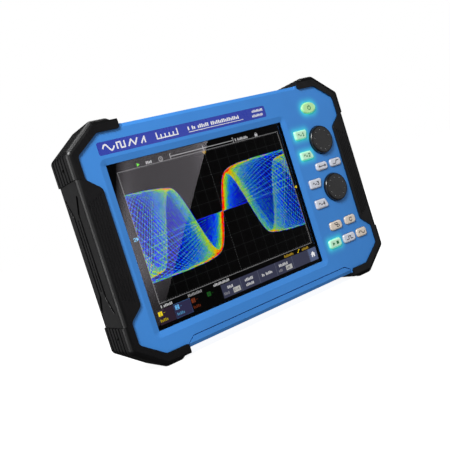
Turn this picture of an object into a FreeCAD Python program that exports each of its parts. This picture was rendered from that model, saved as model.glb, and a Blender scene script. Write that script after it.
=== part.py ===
"""Tablet oscilloscope: 8 inch touch screen, four channels, rubber bumpers, rear stand.

Millimetres. X to the right, Y away from the person using it, Z up. The screen faces -Y.
Everything is drawn about the middle of the case, and save() lifts it so that the bumpers
stand on Z = 0 with the origin under the middle of the case.
"""
import FreeCAD, Part
import os
from math import cos, pi, sin, tan

V = FreeCAD.Vector

# Overall size
HALF_W = 134.0          # half the width over the rubber
HALF_H = 93.5           # half the height over the bumpers
Y_KNOB = -24.0          # knob faces, the foremost point
Y_BUMPER = -22.5        # front of the rubber
Y_KEY = -22.5           # key tops
Y_BEZEL = -21.0         # front face of the case
Y_REBATE = -19.5        # case front where the rubber covers it
Y_GLASS = -19.0         # front of the touch glass
Y_WALL = -17.0          # back of the case's front wall
Y_SPLIT = -6.0          # joint between the front and rear shells
Y_CHAMFER = 15.0        # the rear edges slope inward from here
Y_BACK = 22.0           # back of the rear shell
Y_REAR = 24.0           # back of the rubber
REAR_SLOPE = 7.0        # how far the rear edges slope in
WALL = 2.5
GAP = 0.3               # clearance around anything that moves

# Case, quarter outlines as (x, z, corner radius)
CASE = [(109.4, 87.2, 4), (129.5, 71.6, 4)]
RUBBER = [(109.5, HALF_H, 5), (HALF_W, 74.5, 5)]
BLUE = [(88.4, 100, 0), (88.4, 83.7, 2), (107.2, 83.7, 4), (125.9, 70, 4),
        (125.9, 53.1, 4), (115.5, 44.2, 5)]
REAR_LAP = 6.0          # the rubber reaches this much further in at the back
GRIP_RECESS = 1.2       # the grips sit lower than the bumpers
BUMPER_END = 55.0       # height where a bumper meets the grip
RIB_PITCH, RIB_GROOVE, RIB_DEPTH, RIBS = 6.0, 2.4, 1.3, 5

# Window and screen
WINDOW_X, WINDOW_Z = -23.4, -3.8
WINDOW_W, WINDOW_H = 167.3, 126.7
WINDOW_BEVEL, BEVEL_DEPTH = 4.8, 1.2
GLASS_T, GLASS_LAP = 1.8, 4.0
LCD_W, LCD_H, LCD_T = 180.0, 134.0, 5.3

# Name strip: x, z, width, height
STRIP = (-31.5, 71.75, 156.6, 9.7)
STRIP_T = 0.6

# Keys: name, then (x, z, width, height) or the four corners of a slanted key
KEY_TRAVEL = 0.8
OVAL_KEYS = {"power_key": (94.3, 65.7, 16.5, 10.2)}
BARREL_KEYS = {
    "horizontal_key": (89.3, 12.5, 13.4, 6.9),
    "trigger_key": (106.3, 12.5, 13.3, 6.9),
    "copy_key": (84.9, -41.7, 14.3, 7.5),
    "default_key": (103.1, -41.2, 13.0, 7.5),
    "run_stop_key": (78.0, -56.4, 14.5, 7.7),
    "single_key": (95.8, -56.4, 14.6, 7.7),
    "autoset_key": (112.0, -56.0, 12.4, 7.7),
}
CHANNEL_LEFT, CHANNEL_LONG, CHANNEL_SHORT = 69.4, 84.4, 81.6
CHANNEL_KEYS = {                      # top, bottom, and which edge is the long one
    "channel_1_key": (48.0, 40.2, "top"),
    "channel_2_key": (28.9, 21.6, "bottom"),
    "channel_3_key": (3.2, -4.7, "top"),
    "channel_4_key": (-15.2, -23.2, "bottom"),
}

# Knobs
KNOBS = {"upper": (97.6, 35.3), "lower": (97.8, -9.1)}
KNOB_R, KNOB_FACE_R, KNOB_BACK = 12.7, 11.0, -20.7
DIMPLES, DIMPLE_RING, DIMPLE_R = 10, 8.9, 0.7
SHAFT_R, PLUNGER_R = 3.0, 1.2

# Inside
Y_KEY_BOARD = -5.0
Y_MAIN_BOARD = -0.6
BOARD_T = 1.6
SCREW_X, SCREW_Z = 98.0, 75.5

# Input sockets, on a low shelf behind the top edge
SHELF_HALF, SHELF_Z, SHELF_Y = 78.0, 78.0, -3.0
SOCKETS = {"external": -62.0, "channel_4": -31.0, "channel_3": 0.0,
           "channel_2": 31.0, "channel_1": 62.0}
SOCKET_Y, SOCKET_R, SOCKET_TOP = 8.0, 4.8, 91.0

PROBE_TABS = (43.5, 49.5)

# Port bay and its cover, along the bottom edge
PORT_FACE, PORT_TALL = -83.6, 12.4
PORTS = {                 # x, width, depth in Y, mouth width, mouth depth
    "dc_jack": (-66.0, 11.0, 10.6, 0, 0),
    "lan_jack": (-42.0, 16.4, 13.4, 11.8, 8.0),
    "hdmi_jack": (-16.0, 15.2, 7.0, 13.6, 4.4),
    "usb_host": (9.0, 14.6, 8.0, 12.6, 5.6),
    "usb_device": (33.0, 12.4, 11.4, 8.4, 7.6),
}
COVER_SEAM = 0.7        # visible gap round the port cover
COVER = [(-81.5, -80.2, 1), (80.5, -80.2, 1), (87.0, -84.4, 1), (87.0, -87.2, 0),
         (-87.5, -87.2, 0), (-87.5, -84.4, 1)]
COVER_T = 2.0
HINGE_Y, HINGE_Z, HINGE_R, PIN_R = 4.0, -85.3, 1.85, 0.8
BAY_FLOOR = -82.4
KNUCKLES = [(-87.0, -60.5), (-49.5, -5.5), (5.5, 49.5), (60.5, 86.5)]
LUGS = [(-60.5, -49.5), (-5.5, 5.5), (49.5, 60.5)]

# Stand
LEG_IN, LEG_OUT, LEG_END = 52.0, 72.0, -79.0
STAND_Y, STAND_Z, STAND_R = 20.1, 7.0, 1.7
STAND_PIN_R = 1.0

# Battery
DOOR_X, DOOR_TOP, DOOR_BOTTOM, DOOR_T = 42.0, -26.0, -74.0, 2.0
DOOR_MID = (DOOR_TOP + DOOR_BOTTOM) / 2
DOOR_SCREW_X = DOOR_X - 2.2

# Openings in the back
VENT_ROWS, VENT_Z, VENT_PITCH, VENT_X, VENT_W = 7, 26.0, 5.5, 58.0, 46.0
SPEAKER_Z, SPEAKER_PITCH = 40.0, 4.5


# ---------------------------------------------------------------- outlines

def outline(corners, y):
    """Closed wire at depth y through (x, z, radius) corners."""
    ends = []
    count = len(corners)
    for i, (x, z, r) in enumerate(corners):
        here = V(x, y, z)
        before = V(corners[i - 1][0], y, corners[i - 1][1])
        after = V(corners[(i + 1) % count][0], y, corners[(i + 1) % count][1])
        if r == 0:
            ends.append((here, None, here))
            continue
        u = (before - here).normalize()
        w = (after - here).normalize()
        half = u.getAngle(w) / 2
        centre = here + (u + w).normalize() * (r / sin(half))
        middle = centre + (here - centre).normalize() * r
        run = r / tan(half)
        ends.append((here + u * run, middle, here + w * run))
    edges = []
    for i, (start, middle, end) in enumerate(ends):
        if middle:
            edges.append(Part.Arc(start, middle, end).toShape())
        nxt = ends[(i + 1) % count][0]
        if (nxt - end).Length > 1e-6:
            edges.append(Part.makeLine(end, nxt))
    return Part.Wire(edges)


def grow(corners, d):
    """The same outline moved outward by d on every side (inward if d is negative)."""
    area = sum(corners[i - 1][0] * c[1] - c[0] * corners[i - 1][1] for i, c in enumerate(corners))
    side = 1 if area > 0 else -1
    moved = []
    count = len(corners)
    for i, (x, z, r) in enumerate(corners):
        ax, az = corners[i - 1][:2]
        bx, bz = corners[(i + 1) % count][:2]
        a = V(x - ax, z - az, 0).normalize()
        b = V(bx - x, bz - z, 0).normalize()
        na = V(a.y, -a.x, 0) * side
        nb = V(b.y, -b.x, 0) * side
        turn = a.x * b.y - a.y * b.x
        step = (na + nb) * (d / (1 + na.dot(nb)))
        radius = r + d * (1 if turn * side > 0 else -1) if r else 0
        moved.append((x + step.x, z + step.y, max(radius, 0.2) if r else 0))
    return moved


def all_round(quarter):
    """Full outline from the corners of its upper right quarter, top to bottom."""
    right = quarter + [(x, -z, r) for x, z, r in reversed(quarter)]
    left = [(-x, z, r) for x, z, r in reversed(right)]
    return right + left


def rect(x, z, w, h, r=0.0):
    return [(x - w / 2, z + h / 2, r), (x + w / 2, z + h / 2, r),
            (x + w / 2, z - h / 2, r), (x - w / 2, z - h / 2, r)]


# ---------------------------------------------------------------- solids

def plate(corners, y0, y1):
    return Part.Face(outline(corners, y0)).extrude(V(0, y1 - y0, 0))


def stack(corners, levels):
    """Solid through copies of one outline, each (y, growth)."""
    wires = [outline(grow(corners, d), y) for y, d in levels]
    return Part.makeLoft(wires, True, True)


def box(x0, x1, y0, y1, z0, z1):
    return Part.makeBox(x1 - x0, y1 - y0, z1 - z0, V(x0, y0, z0))


def rod_x(y, z, r, x0, x1):
    return Part.makeCylinder(r, x1 - x0, V(x0, y, z), V(1, 0, 0))


def rod_y(x, z, r, y0, y1):
    return Part.makeCylinder(r, y1 - y0, V(x, y0, z), V(0, 1, 0))


def rod_z(x, y, r, z0, z1):
    return Part.makeCylinder(r, z1 - z0, V(x, y, z0), V(0, 0, 1))


def join(shapes):
    return shapes[0].multiFuse(shapes[1:]).removeSplitter() if len(shapes) > 1 else shapes[0]


def mirror_x(shape):
    return shape.mirror(V(0, 0, 0), V(1, 0, 0))


def mirror_z(shape):
    return shape.mirror(V(0, 0, 0), V(0, 0, 1))


def four_ways(shape):
    """A shape and its mirror copies in the other three corners."""
    right = [shape, mirror_z(shape)]
    return right + [mirror_x(s) for s in right]


def both(shape):
    return [shape, mirror_x(shape)]


def group(shapes):
    return Part.makeCompound(shapes)


def save(name, shape):
    lifted = shape.copy()
    lifted.translate(V(0, 0, HALF_H))
    lifted.exportStep("parts/" + name + ".step")
    print(name, len(lifted.Solids), round(lifted.Volume / 1000, 2), lifted.isValid())


# ---------------------------------------------------------------- keys and knobs

def key_corners(name):
    if name in BARREL_KEYS:
        return rect(*BARREL_KEYS[name], 2.4)
    top, bottom, longer = CHANNEL_KEYS[name]
    top_right = CHANNEL_LONG if longer == "top" else CHANNEL_SHORT
    bottom_right = CHANNEL_SHORT if longer == "top" else CHANNEL_LONG
    return [(CHANNEL_LEFT, top, 1.6), (top_right, top, 1.8),
            (bottom_right, bottom, 1.8), (CHANNEL_LEFT, bottom, 1.6)]


def key_wire(name, y, d):
    """Outline of a key at depth y, grown by d."""
    if name in OVAL_KEYS:
        x, z, w, h = OVAL_KEYS[name]
        oval = Part.Ellipse(V(x + w / 2 + d, y, z), V(x, y, z + h / 2 + d), V(x, y, z))
        return Part.Wire([oval.toShape()])
    return outline(grow(key_corners(name), d), y)


def key_centre(name):
    if name in OVAL_KEYS:
        return OVAL_KEYS[name][:2]
    corners = key_corners(name)
    return (sum(c[0] for c in corners) / 4, sum(c[1] for c in corners) / 4)


def key_prism(name, d, y0, y1):
    return Part.Face(key_wire(name, y0, d)).extrude(V(0, y1 - y0, 0))


def make_key(name):
    """Crowned cap, a flange that holds it behind the wall, and a stem to its switch."""
    crown = [(Y_KEY, -1.1), (Y_KEY + 0.25, -0.5), (Y_KEY + 0.9, 0.0)]
    cap = Part.makeLoft([key_wire(name, y, d) for y, d in crown], True, True)
    shank = key_prism(name, 0, Y_KEY + 0.9, Y_WALL + GAP)
    flange = key_prism(name, 1.2, Y_WALL + GAP, Y_WALL + GAP + 1)
    x, z = key_centre(name)
    stem = rod_y(x, z, 1.8, Y_WALL + GAP + 1, Y_KEY_BOARD - 4.9)
    return join([cap, shank, flange, stem])


def make_knob(x, z):
    """Low disc knob with a rounded rim, a ring of dimples and a bore for its shaft."""
    rim = KNOB_R - KNOB_FACE_R
    start = V(KNOB_R, KNOB_BACK, 0)
    side = V(KNOB_R, Y_KNOB + rim, 0)
    bend = V(KNOB_FACE_R + rim * sin(pi / 4), Y_KNOB + rim * (1 - cos(pi / 4)), 0)
    face = V(KNOB_FACE_R, Y_KNOB, 0)
    bore = V(SHAFT_R, Y_KNOB + 1.4, 0)
    profile = Part.Wire([
        Part.makeLine(start, side),
        Part.Arc(side, bend, face).toShape(),
        Part.makeLine(face, V(0, Y_KNOB, 0)),
        Part.makeLine(V(0, Y_KNOB, 0), V(0, bore.y, 0)),
        Part.makeLine(V(0, bore.y, 0), bore),
        Part.makeLine(bore, V(SHAFT_R, KNOB_BACK, 0)),
        Part.makeLine(V(SHAFT_R, KNOB_BACK, 0), start)])
    knob = Part.Face(profile).revolve(V(0, 0, 0), V(0, 1, 0), 360)
    knob = Part.makeSolid(Part.makeShell(knob.Faces)) if not knob.Solids else knob.Solids[0]
    if knob.Volume < 0:
        knob.reverse()
    dimples = []
    for i in range(DIMPLES):
        turn = 2 * pi * (i + 0.5) / DIMPLES
        place = V(DIMPLE_RING * cos(turn), Y_KNOB - 0.3, DIMPLE_RING * sin(turn))
        dimples.append(Part.makeSphere(DIMPLE_R, place))
    knob = knob.cut(dimples)
    knob.translate(V(x, 0, z))
    return knob


def make_shaft(x, z):
    """Hollow encoder shaft, in the knob's bore."""
    return rod_y(x, z, SHAFT_R, Y_KNOB + 1.4, -11.2).cut(rod_y(x, z, PLUNGER_R + GAP, -14, -11))


def make_plunger(x, z):
    """Push rod inside the shaft, with the disc that presses the dome switch."""
    return join([rod_y(x, z, PLUNGER_R, -13.6, -10.0), rod_y(x, z, 2.7, -10.7, -9.7)])


def encoder_body(x, z):
    """Encoder can on the key board, with a bush around the shaft."""
    can = plate(rect(x, z, 12.4, 13.2, 0.6), -12.4, Y_KEY_BOARD)
    bush = rod_y(x, z, 4.6, -17.6, -12.4)
    hollow = rod_y(x, z, SHAFT_R + GAP, -18, -7.2)
    return join([can, bush]).cut(hollow)


# ---------------------------------------------------------------- case

ALL_KEYS = list(OVAL_KEYS) + list(BARREL_KEYS) + list(CHANNEL_KEYS)


def case_block(shrink, y0, y1):
    """The case's volume between two depths, shrunk by a wall."""
    levels = [(y0, -shrink)]
    slope_end = Y_BACK if shrink == 0 else Y_BACK - shrink
    if y1 > Y_CHAMFER:
        levels += [(Y_CHAMFER - 1.5, -shrink), (slope_end, -shrink - REAR_SLOPE + 1)]
    else:
        levels.append((y1, -shrink))
    return stack(all_round(CASE), levels)


def cover_notch():
    """Space in both shells that the port cover and its hinge move in."""
    front = plate(grow(COVER, COVER_SEAM), Y_BEZEL - 1, Y_BEZEL + COVER_T + GAP)
    under = box(-87.8, 87.3, Y_BEZEL - 1, HINGE_Y + HINGE_R + 0.4, -88, HINGE_Z + HINGE_R - 0.9)
    barrel = rod_x(HINGE_Y, HINGE_Z, HINGE_R + 0.35, -87.8, 87.3)
    return [front, under, barrel]


def edge_slope(reach, up):
    """Wedge that slopes the front face off towards the top (up 1) or bottom (up -1) edge."""
    front = Y_BEZEL - 0.1
    wedge = Part.Face(Part.makePolygon([
        V(-reach, front, 84.2 * up), V(-reach, Y_REBATE, 87.3 * up),
        V(-reach, front, 87.3 * up), V(-reach, front, 84.2 * up)]))
    return wedge.extrude(V(2 * reach, 0, 0))


def front_bezel():
    shell = join([case_block(0, Y_REBATE, Y_SPLIT),
                  plate(all_round(BLUE), Y_BEZEL, Y_REBATE).common(case_block(0, Y_BEZEL, Y_REBATE))])
    window = rect(WINDOW_X, WINDOW_Z, WINDOW_W, WINDOW_H, 0.6)
    cuts = [
        Part.makeLoft([outline(grow(window, WINDOW_BEVEL), Y_BEZEL - 0.001),
                       outline(window, Y_BEZEL + BEVEL_DEPTH)], True, True),
        plate(window, Y_BEZEL + BEVEL_DEPTH - 0.1, Y_WALL + 1),
        plate(grow(window, GLASS_LAP + 0.1), Y_GLASS, Y_WALL + 1),
    ]
    # Sloping strip along the top edge, and the same below
    cuts += [edge_slope(86, 1), edge_slope(86, -1)]
    # Name strip recess
    cuts.append(plate(rect(*STRIP, 1.6), Y_BEZEL - 1, Y_BEZEL + STRIP_T))
    # Keys and knobs
    cuts += [key_prism(name, GAP, Y_BEZEL - 1, Y_WALL + 1) for name in ALL_KEYS]
    for x, z in KNOBS.values():
        cuts.append(rod_y(x, z, KNOB_R + 0.5, Y_BEZEL - 1, Y_REBATE))
        cuts.append(rod_y(x, z, 4.9, Y_BEZEL - 1, Y_WALL + 1))
    inside = case_block(WALL, Y_WALL, Y_SPLIT + 1).cut(
        [box(-90, 90, Y_BEZEL, 0, -90, BAY_FLOOR)])
    bosses = four_ways(rod_y(SCREW_X, SCREW_Z, 3.3, Y_WALL - 0.5, Y_SPLIT))
    shell = shell.cut(cuts + [inside] + cover_notch())
    shell = join([shell] + bosses)
    holes = four_ways(rod_y(SCREW_X, SCREW_Z, 1.25, Y_WALL + 1, Y_SPLIT))
    return shell.cut(holes + port_holes())


def stand_space(margin):
    """Flat H shape of the stand: two legs, the hinge bar and a cross bar."""
    y0 = STAND_Y - STAND_R - margin
    top = STAND_Z + (margin + STAND_R if margin else 0)
    end = LEG_END - (12 if margin else 0)
    back = Y_BACK + 1 if margin else STAND_Y + STAND_R
    pieces = [box(LEG_IN - margin, LEG_OUT + margin, y0, back, end, top)]
    pieces += [mirror_x(pieces[0])]
    pieces.append(box(-LEG_IN - 1, LEG_IN + 1, y0, back, -3 - margin, top))
    pieces.append(box(-LEG_IN - 1, LEG_IN + 1, y0, back, -20 - margin, -12 + margin))
    return pieces


def rear_shell():
    shell = case_block(0, Y_SPLIT, Y_BACK)
    inside = case_block(WALL, Y_SPLIT - 1, Y_BACK)
    keep = [
        box(-SHELF_HALF - WALL, SHELF_HALF + WALL, SHELF_Y - WALL, 30, SHELF_Z - WALL, 100),
        box(-90, 90, -20, HINGE_Y + HINGE_R + 3, -90, BAY_FLOOR),
        box(-LEG_OUT - 7, LEG_OUT + 7, 15.6, 30, -90, STAND_Z + 5),
    ]
    shell = shell.cut(inside.cut(keep))
    posts = four_ways(rod_y(SCREW_X, SCREW_Z, 4.4, Y_SPLIT, Y_BACK - 1))
    shell = join([shell] + posts)
    cuts = [box(-SHELF_HALF, SHELF_HALF, SHELF_Y, 30, SHELF_Z, 100)]
    cuts += [rod_z(x, SOCKET_Y, 6.4, SHELF_Z - 5, SHELF_Z + 1) for x in SOCKETS.values()]
    cuts += stand_space(GAP)
    cuts += both(rod_x(STAND_Y, STAND_Z, STAND_PIN_R, LEG_OUT, LEG_OUT + 6))
    # Battery opening with a ledge for the door
    door = rect(0, DOOR_MID, 2 * DOOR_X, DOOR_TOP - DOOR_BOTTOM, 3)
    cuts.append(plate(grow(door, 0.15), Y_BACK - DOOR_T, Y_BACK + 1))
    cuts.append(plate(grow(door, -4), 10, Y_BACK))
    cuts += both(rod_y(DOOR_SCREW_X, DOOR_MID, 1.1, 16, Y_BACK))
    # Vents
    for row in range(VENT_ROWS):
        z = VENT_Z + row * VENT_PITCH
        cuts += both(plate(rect(VENT_X, z, VENT_W, 2.2, 1.05), 16, Y_BACK + 1))
    # Speaker holes
    for i in range(-2, 3):
        for j in range(-1, 2):
            cuts.append(rod_y(SPEAKER_PITCH * i, SPEAKER_Z + SPEAKER_PITCH * j, 1.1, 16, Y_BACK + 1))
    cuts += four_ways(rod_y(SCREW_X, SCREW_Z, 1.5, Y_SPLIT - 1, Y_BACK + 1))
    cuts += four_ways(rod_y(SCREW_X, SCREW_Z, 3.1, Y_BACK - 3.5, Y_BACK + 1))
    return shell.cut(cuts + cover_notch() + port_holes())


# ---------------------------------------------------------------- rubber

def rubber_envelope(sink):
    """Outside of the rubber, softened at the front and sloping at the back."""
    levels = [(Y_BUMPER, -3.9 - sink), (Y_BUMPER + 0.5, -2.2 - sink),
              (Y_BUMPER + 1.4, -1.0 - sink), (Y_BUMPER + 2.7, -0.3 - sink),
              (Y_BUMPER + 4.2, -sink),
              (Y_CHAMFER, -sink), (Y_REAR - 0.8, -REAR_SLOPE + 0.6 - sink),
              (Y_REAR, -REAR_SLOPE - 0.8 - sink)]
    return stack(all_round(RUBBER), levels)


def rubber_inside():
    """What the rubber leaves free: the case, and the blue face front and back."""
    return [case_block(0, Y_REBATE, Y_SPLIT), case_block(0, Y_SPLIT, Y_BACK),
            plate(all_round(BLUE), Y_BUMPER - 2, 0),
            plate(grow(all_round(BLUE), -REAR_LAP), 0, Y_REAR + 2)]


def corner_bumper():
    """Upper right bumper: stepped lobe on the top edge, ribs round its sides."""
    region = plate([(88.4, 91, 0), (94.5, 91, 0.8), (97, HALF_H, 0.8), (110, HALF_H + 1, 0),
                    (140, HALF_H + 1, 0), (140, BUMPER_END, 0), (132, BUMPER_END, 0),
                    (104, 43.8, 0), (96, 60, 0), (88.4, 70, 0)], Y_BUMPER - 1, Y_REAR + 1)
    bumper = rubber_envelope(0).common(region)
    ribs = []
    for i in range(RIBS):
        y = Y_BUMPER + 7.5 + i * RIB_PITCH
        outer = plate(all_round(grow_quarter(RUBBER, 1)), y, y + RIB_GROOVE)
        ribs.append(outer.cut(plate(all_round(grow_quarter(RUBBER, -RIB_DEPTH)), y, y + RIB_GROOVE)))
    plug = rod_x(-6, 64, 1.5, HALF_W - 1.8, HALF_W + 2)
    return bumper.cut(rubber_inside() + ribs + [plug])


def grow_quarter(quarter, d):
    """A quarter outline moved out by d, worked out on the full outline."""
    return grow(all_round(quarter), d)[:len(quarter)]


def ditch(points, width, x0, x1):
    """Groove along (y, z) points, cut in from x1 to x0."""
    shapes = []
    for (ya, za), (yb, zb) in zip(points, points[1:]):
        run = V(0, yb - ya, zb - za)
        across = V(1, 0, 0).cross(run).normalize() * (width / 2)
        a, b = V(x0, ya, za), V(x0, yb, zb)
        face = Part.Face(Part.makePolygon([a + across, b + across, b - across, a - across, a + across]))
        shapes.append(face.extrude(V(x1 - x0, 0, 0)))
    shapes += [rod_x(y, z, width / 2, x0, x1) for y, z in points]
    return join(shapes)


def side_grip():
    """Right grip: ridged front band and Y-shaped grooves on its side."""
    region = plate([(104, 43.8, 0), (132, BUMPER_END, 0), (140, BUMPER_END, 0),
                    (140, -BUMPER_END, 0), (132, -BUMPER_END, 0), (104, -43.8, 0)],
                   Y_BUMPER - 1, Y_REAR + 1)
    grip = rubber_envelope(GRIP_RECESS).common(region)
    side = HALF_W - GRIP_RECESS
    cuts = [ditch([(-0.5, -27), (-0.5, 27)], 2.2, side - 1.5, side + 1)]
    for s in (-1, 1):
        cuts.append(ditch([(-0.5 + 12.5 * s, -43), (-0.5 + 5.5 * s, -31), (-0.5 + 5.5 * s, 31),
                           (-0.5 + 12.5 * s, 43)], 3.2, side - 1.9, side + 1))
    for i in range(6):
        x = 118.2 + i * 2.1
        reach = 41 - 1.2 * i
        cuts.append(box(x, x + 0.9, Y_BUMPER - 1, Y_BUMPER + 0.5, -reach, reach))
    return grip.cut(rubber_inside() + cuts)


# ---------------------------------------------------------------- screen

def touch_glass():
    window = rect(WINDOW_X, WINDOW_Z, WINDOW_W, WINDOW_H, 0.6)
    return plate(grow(window, GLASS_LAP), Y_GLASS, Y_GLASS + GLASS_T)


def window_gasket():
    ring = rect(WINDOW_X, WINDOW_Z, WINDOW_W, WINDOW_H, 0.6)
    y = Y_GLASS + GLASS_T
    return plate(grow(ring, 2.6), y, y + 0.8).cut(plate(ring, y - 1, y + 2))


Y_LCD = Y_GLASS + GLASS_T + 0.8


def lcd_panel():
    return plate(rect(WINDOW_X, WINDOW_Z, LCD_W, LCD_H, 1), Y_LCD, Y_LCD + LCD_T)


def lcd_bracket():
    """Pressed steel frame behind the display, with a rolled rim."""
    y = Y_LCD + LCD_T
    sheet = plate(rect(WINDOW_X, WINDOW_Z, LCD_W - 2, LCD_H - 2, 2), y, y + 0.8)
    window = plate(rect(WINDOW_X, WINDOW_Z, LCD_W - 40, LCD_H - 40, 4), y - 1, y + 3)
    rim = plate(rect(WINDOW_X, WINDOW_Z, LCD_W - 34, LCD_H - 34, 5), y + 0.8, y + 2.4)
    return join([sheet, rim]).cut(window)


def display_ribbon():
    y = Y_LCD + LCD_T + 0.8
    down = box(-60, -40, y, Y_MAIN_BOARD, -44, -43.8)
    flat = box(-60, -40, y, y + 0.2, -44, -38)
    return join([down, flat])


# ---------------------------------------------------------------- electronics

def key_board():
    return plate([(67.5, 70.4, 2), (112, 70.4, 2), (116, 50, 2), (113.5, 44, 2), (113.5, -44, 2),
                   (121, -50, 2), (121, -64, 2), (67.5, -64, 2)], Y_KEY_BOARD, Y_KEY_BOARD + BOARD_T)


def key_switches():
    """Tact switch under each key, as one group."""
    switches = []
    for name in ALL_KEYS:
        x, z = key_centre(name)
        can = plate(rect(x, z, 6, 6, 0.4), Y_KEY_BOARD - 3, Y_KEY_BOARD)
        switches.append(join([can, rod_y(x, z, 1.7, Y_KEY_BOARD - 3.7, Y_KEY_BOARD - 3)]))
    return group(switches)


def main_board():
    y = Y_MAIN_BOARD
    return plate([(-118, 60, 3), (-112, 70, 3), (112, 70, 3), (118, 60, 3),
                  (118, -60, 3), (108, -70.5, 3), (-108, -70.5, 3), (-118, -60, 3)], y, y + BOARD_T)


def boxes_on_board(places, height):
    """Components standing on the rear face of the main board."""
    y = Y_MAIN_BOARD + BOARD_T
    return group([plate(rect(x, z, w, h, 0.5), y, y + height) for x, z, w, h in places])


def speaker():
    """Small round speaker behind its grille, with a dished front."""
    return rod_y(0, SPEAKER_Z, 9.5, 12, 16.5).cut(rod_y(0, SPEAKER_Z, 7, 15.5, 20))


def shield_cans():
    return group([plate(rect(x, 44, 26, 30, 1), 1.0, 8.5) for x in SOCKETS.values()])


def battery_pack():
    """Three flat cells side by side in one wrap."""
    cells = []
    for i in (-1, 0, 1):
        cells.append(plate(rect(25 * i, -50, 25, 54, 4), 3.0, 15.2))
    return join(cells)


def battery_door():
    door = rect(0, DOOR_MID, 2 * DOOR_X, DOOR_TOP - DOOR_BOTTOM, 3)
    panel = plate(door, Y_BACK - DOOR_T, Y_BACK)
    holes = both(rod_y(DOOR_SCREW_X, DOOR_MID, 1.4, 0, 40))
    holes += both(rod_y(DOOR_SCREW_X, DOOR_MID, 2.4, Y_BACK - 1.4, 40))
    grooves = []
    for i in range(5):
        z = DOOR_MID + 8 + 2.4 * i
        grooves.append(box(-28, 28, Y_BACK - 0.4, Y_BACK + 1, z, z + 1))
    return panel.cut(holes + grooves)


def cross_screw(x, z, head_r, head_y, shank_r, tip_y):
    """Pan head screw driven in from the back, with a cross slot."""
    head = rod_y(x, z, head_r, head_y - 1.2, head_y)
    shank = rod_y(x, z, shank_r, tip_y, head_y - 1.2)
    slots = [box(x - head_r * 0.6, x + head_r * 0.6, head_y - 0.7, head_y + 1, z - 0.35, z + 0.35),
             box(x - 0.35, x + 0.35, head_y - 0.7, head_y + 1, z - head_r * 0.6, z + head_r * 0.6)]
    return join([head, shank]).cut(slots)


# ---------------------------------------------------------------- sockets and ports

def bnc_shell(x):
    """Bayonet socket through the shelf, with its lugs and a square foot on the board."""
    flange = rod_z(x, SOCKET_Y, 7.2, SHELF_Z, SHELF_Z + 1.5)
    barrel = rod_z(x, SOCKET_Y, SOCKET_R, SHELF_Z + 1.5, SOCKET_TOP)
    neck = rod_z(x, SOCKET_Y, 6.3, SHELF_Z - WALL - 1.5, SHELF_Z)
    foot = box(x - 7, x + 7, Y_MAIN_BOARD + BOARD_T, SOCKET_Y + 7, 63, SHELF_Z - WALL - 1.5)
    lugs = Part.makeCylinder(1.0, 11.2, V(x - 5.6, SOCKET_Y, SOCKET_TOP - 4.6), V(1, 0, 0))
    bore = rod_z(x, SOCKET_Y, 4.05, SHELF_Z + 2, SOCKET_TOP + 1)
    return join([flange, barrel, neck, foot, lugs]).cut(bore)


def bnc_insulator(x):
    outer = rod_z(x, SOCKET_Y, 2.35, SHELF_Z + 2, SOCKET_TOP - 2.2)
    return outer.cut(rod_z(x, SOCKET_Y, 1.1, SHELF_Z + 2, SOCKET_TOP))


def bnc_contact(x):
    pin = rod_z(x, SOCKET_Y, 1.1, SHELF_Z + 2, SOCKET_TOP - 2.8)
    return pin.cut(rod_z(x, SOCKET_Y, 0.55, SHELF_Z + 7, SOCKET_TOP))


def colour_ring(x):
    """Flat ring around a socket that shows its channel's colour."""
    ring = rod_z(x, SOCKET_Y, 9.4, SHELF_Z, SHELF_Z + 0.8)
    return ring.cut(rod_z(x, SOCKET_Y, 7.3, SHELF_Z - 1, SHELF_Z + 2))


def probe_tab(x):
    """Bent metal loop that gives the probe adjustment signal."""
    leg = box(x - 2.2, x + 2.2, SOCKET_Y - 0.4, SOCKET_Y + 0.4, SHELF_Z, SHELF_Z + 7)
    return leg.cut(Part.makeCylinder(1.1, 4, V(x, SOCKET_Y - 2, SHELF_Z + 4.4), V(0, 1, 0)))


def port_box(name, d):
    x, w, deep = PORTS[name][:3]
    return box(x - w / 2 - d, x + w / 2 + d, Y_MAIN_BOARD - deep - d, Y_MAIN_BOARD + d,
               PORT_FACE - 4 * d, PORT_FACE + PORT_TALL)


def port_holes():
    return [port_box(name, 0.25) for name in PORTS]


def make_port(name):
    """Jack on the main board's lower edge, open downward."""
    x, w, deep, mouth_w, mouth_d = PORTS[name]
    y = Y_MAIN_BOARD - deep / 2
    if not mouth_w:
        hole = rod_z(x, y, 3.4, PORT_FACE - 1, PORT_FACE + 10)
        pin = rod_z(x, y, 1.0, PORT_FACE + 1.5, PORT_FACE + 11)
        return port_box(name, 0).cut(hole.cut(pin))
    mouth = box(x - mouth_w / 2, x + mouth_w / 2, y - mouth_d / 2, y + mouth_d / 2,
                PORT_FACE - 1, PORT_FACE + PORT_TALL - 2.4)
    tongue = box(x - mouth_w / 2 + 1.6, x + mouth_w / 2 - 1.6, y - 0.5, y + 0.5,
                 PORT_FACE + 2, PORT_FACE + PORT_TALL - 2)
    if name == "lan_jack":
        return port_box(name, 0).cut(mouth)
    return port_box(name, 0).cut(mouth.cut(tongue))


def port_cover():
    """L-shaped flap: the strip seen from the front, the bottom plate and hinge knuckles."""
    lip = plate(COVER, Y_BEZEL, Y_BEZEL + COVER_T)
    under = box(-87.5, 87, Y_BEZEL + 0.5, HINGE_Y, -87.2, -85.4)
    flap = join([lip, under])
    flap = flap.cut(edge_slope(90, -1))
    knuckles = [rod_x(HINGE_Y, HINGE_Z, HINGE_R, x0, x1) for x0, x1 in KNUCKLES]
    gaps = [box(x0, x1, 1.6, 8, -88, -80) for x0, x1 in LUGS]
    flap = join([flap.cut(gaps)] + knuckles)
    return flap.cut(rod_x(HINGE_Y, HINGE_Z, PIN_R + 0.15, -90, 90))


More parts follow.
